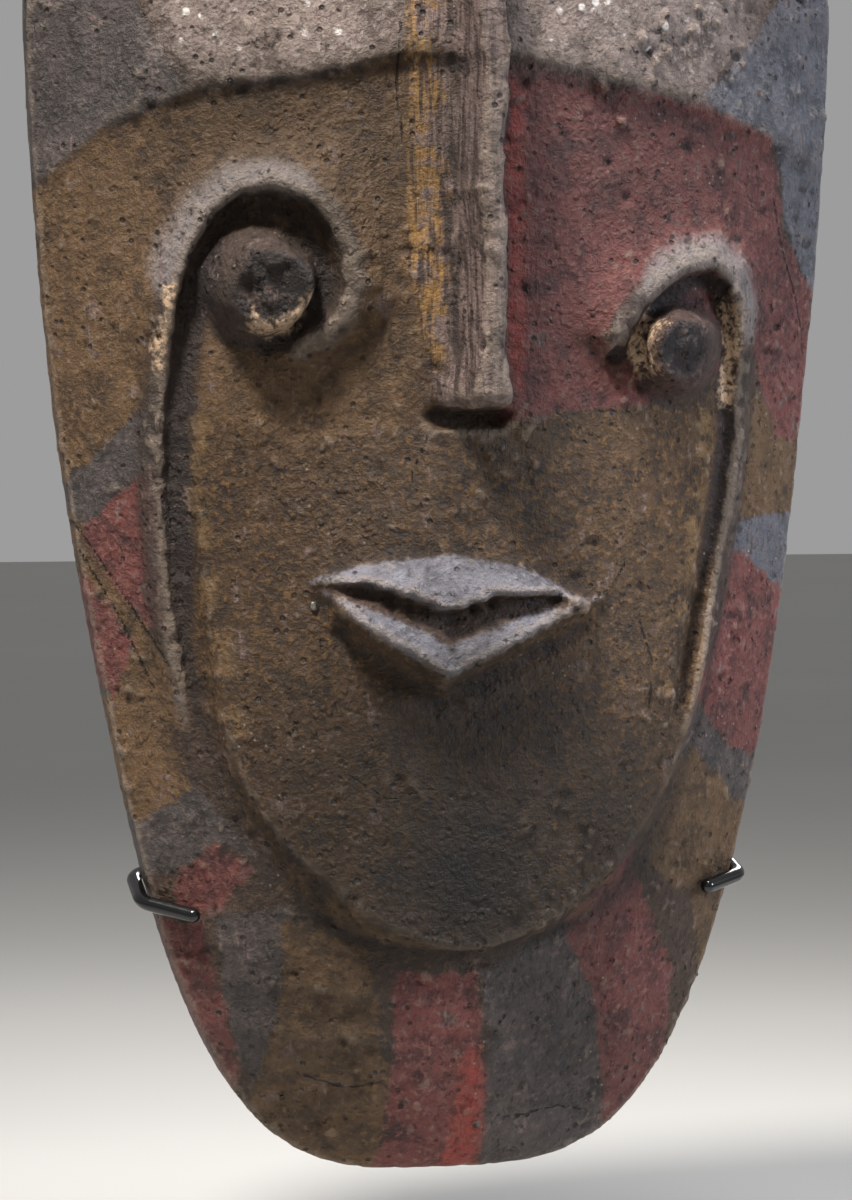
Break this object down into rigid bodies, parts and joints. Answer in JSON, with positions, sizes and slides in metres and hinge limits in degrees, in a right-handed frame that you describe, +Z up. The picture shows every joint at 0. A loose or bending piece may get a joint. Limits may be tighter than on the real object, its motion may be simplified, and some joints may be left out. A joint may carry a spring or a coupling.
{
  "type": "carved wooden mask on a wall mount",
  "caption": "Tall carved and painted wooden mask with coiled eyes, a ridge nose and a hollow back, held on a hook mount that lifts off a wall plate.",
  "frame": {"origin": "centre of the wall plate's back face, on the wall plane", "axes": "+Z up, +Y into the wall, the mask looks along -Y, +X to the right of a person facing the mask"},
  "size_m": [0.282, 0.1251, 0.5063],
  "materials": {
    "painted_wood": "crusty matt earth pigments over hand-adzed wood",
    "nail_steel": "worn bright",
    "plate_metal": "fine black powder coat",
    "frame_metal": "satin black",
    "bare_steel": "bright zinc",
    "rod_steel": "drawn rod",
    "sleeve_plastic": "glossy black shrink sleeve",
    "pad_felt": "dense felt",
    "clamp_brass": "knurled brass"
  },
  "bodies": {
    "wall": {"wall_plate": "plate_metal", "receiver_channel": "plate_metal", "receiver_rivets": "bare_steel"},
    "frame": {"spine_bar": "frame_metal", "hanger_tongue": "rod_steel", "hanger_spacer": "frame_metal", "hanger_screws": "bare_steel", "upper_crossbar": "frame_metal", "crossbar_screws": "bare_steel", "left_rest_pad": "pad_felt", "right_rest_pad": "pad_felt", "lower_rest_pad": "pad_felt", "cross_guide": "frame_metal", "top_guide": "frame_metal"},
    "mask": {"mask_body": "painted_wood", "mouth_nail": "nail_steel"},
    "left_arm": {"left_arm_rod": "rod_steel", "left_arm_sleeve": "sleeve_plastic"},
    "right_arm": {"right_arm_rod": "rod_steel", "right_arm_sleeve": "sleeve_plastic"},
    "top_clip": {"top_clip_rod": "rod_steel", "top_clip_sleeve": "sleeve_plastic"},
    "left_clamp": {"left_clamp_screw": "clamp_brass"},
    "right_clamp": {"right_clamp_screw": "clamp_brass"},
    "top_clamp": {"top_clamp_screw": "clamp_brass"}
  },
  "joints": [
    {"name": "spine_lift", "type": "slide", "parent": "wall", "child": "frame", "axis": [0, 0, 1], "range_m": [0, 0.05]},
    {"name": "mask_lift", "type": "slide", "parent": "frame", "child": "mask", "axis": [0, 0, 1], "range_m": [0, 0.065]},
    {"name": "top_clip_slide", "type": "slide", "parent": "frame", "child": "top_clip", "axis": [0, 0, 1], "range_m": [0, 0.065]},
    {"name": "left_arm_slide", "type": "slide", "parent": "frame", "child": "left_arm", "axis": [-1, 0, 0], "range_m": [0, 0.03]},
    {"name": "right_arm_slide", "type": "slide", "parent": "frame", "child": "right_arm", "axis": [1, 0, 0], "range_m": [0, 0.03]},
    {"name": "left_clamp_turn", "type": "hinge", "parent": "frame", "child": "left_clamp", "pos_m": [-0.053, -0.022, -0.148], "axis": [0, 0, -1], "range_deg": [0, 360]},
    {"name": "right_clamp_turn", "type": "hinge", "parent": "frame", "child": "right_clamp", "pos_m": [0.053, -0.022, -0.148], "axis": [0, 0, -1], "range_deg": [0, 360]},
    {"name": "top_clamp_turn", "type": "hinge", "parent": "frame", "child": "top_clamp", "pos_m": [0, -0.022, 0.208], "axis": [1, 0, 0], "range_deg": [0, 360]}
  ],
  "couplings": [
    {"joint": "top_clip_slide", "follows": "mask_lift", "ratio": 1}
  ]
}
